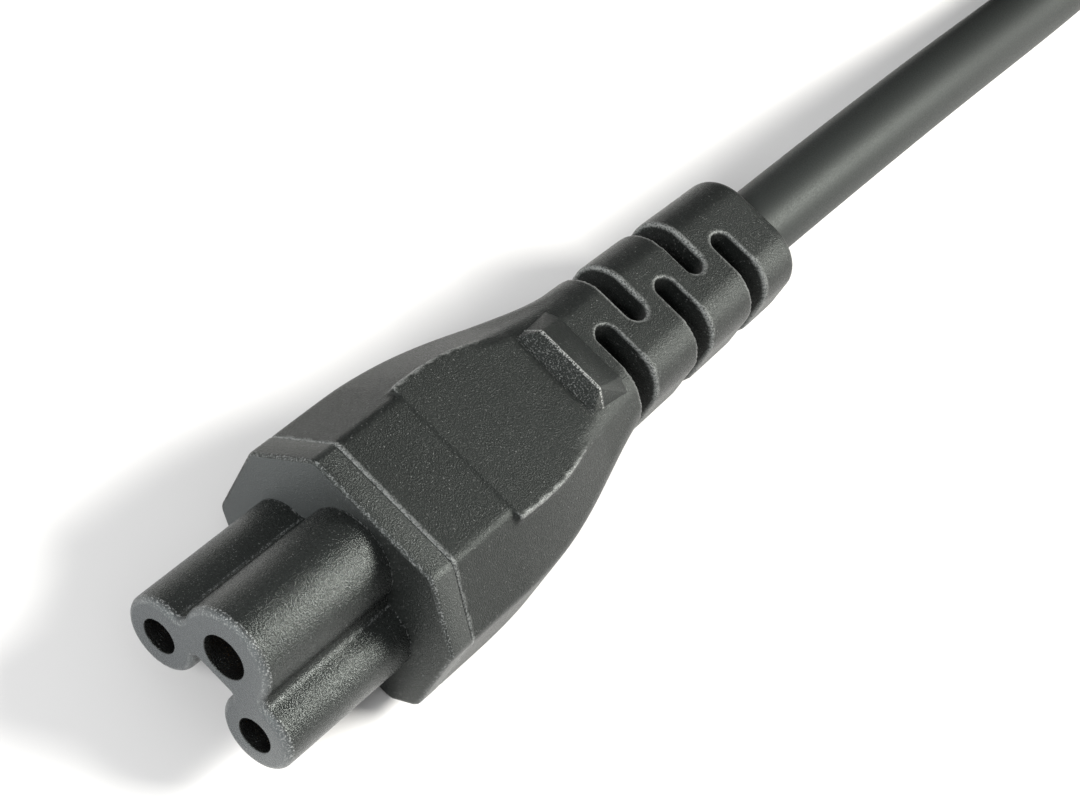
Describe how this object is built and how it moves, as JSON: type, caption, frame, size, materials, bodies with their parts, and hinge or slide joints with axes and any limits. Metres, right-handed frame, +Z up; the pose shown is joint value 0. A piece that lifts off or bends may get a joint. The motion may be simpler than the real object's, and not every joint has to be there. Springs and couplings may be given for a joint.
{
  "type": "cloverleaf power cord",
  "caption": "Moulded appliance cord: cloverleaf connector with a three-lobed nose, thumb grip and slotted strain relief, a coiled round cord and a three-pin plug.",
  "frame": {"origin": "on the surface that the connector lies on, under the middle of the connector without its free cord and plug", "axes": "+X across the connector, -Y out of the nose towards the appliance, +Y along the cord, +Z up from the flat underside"},
  "size_m": [0.0959, 0.2007, 0.0272],
  "materials": {
    "nose_pvc": "fine matte speckle, slightly lighter on the nose",
    "body_pvc": "soft black PVC with a fine matte grain",
    "cord_pvc": "smooth black PVC jacket with a satin sheen",
    "contact_metal": "plain brass",
    "blade_metal": "nickel-plated brass"
  },
  "bodies": {
    "root": {"nose_insert": "nose_pvc", "line_contact": "contact_metal", "neutral_contact": "contact_metal", "earth_contact": "contact_metal", "body": "body_pvc", "cord": "cord_pvc", "cord_coil": "cord_pvc", "cord_tail": "cord_pvc", "plug_body": "body_pvc", "plug_line_blade": "blade_metal", "plug_neutral_blade": "blade_metal", "plug_earth_pin": "blade_metal"}
  },
  "joints": []
}
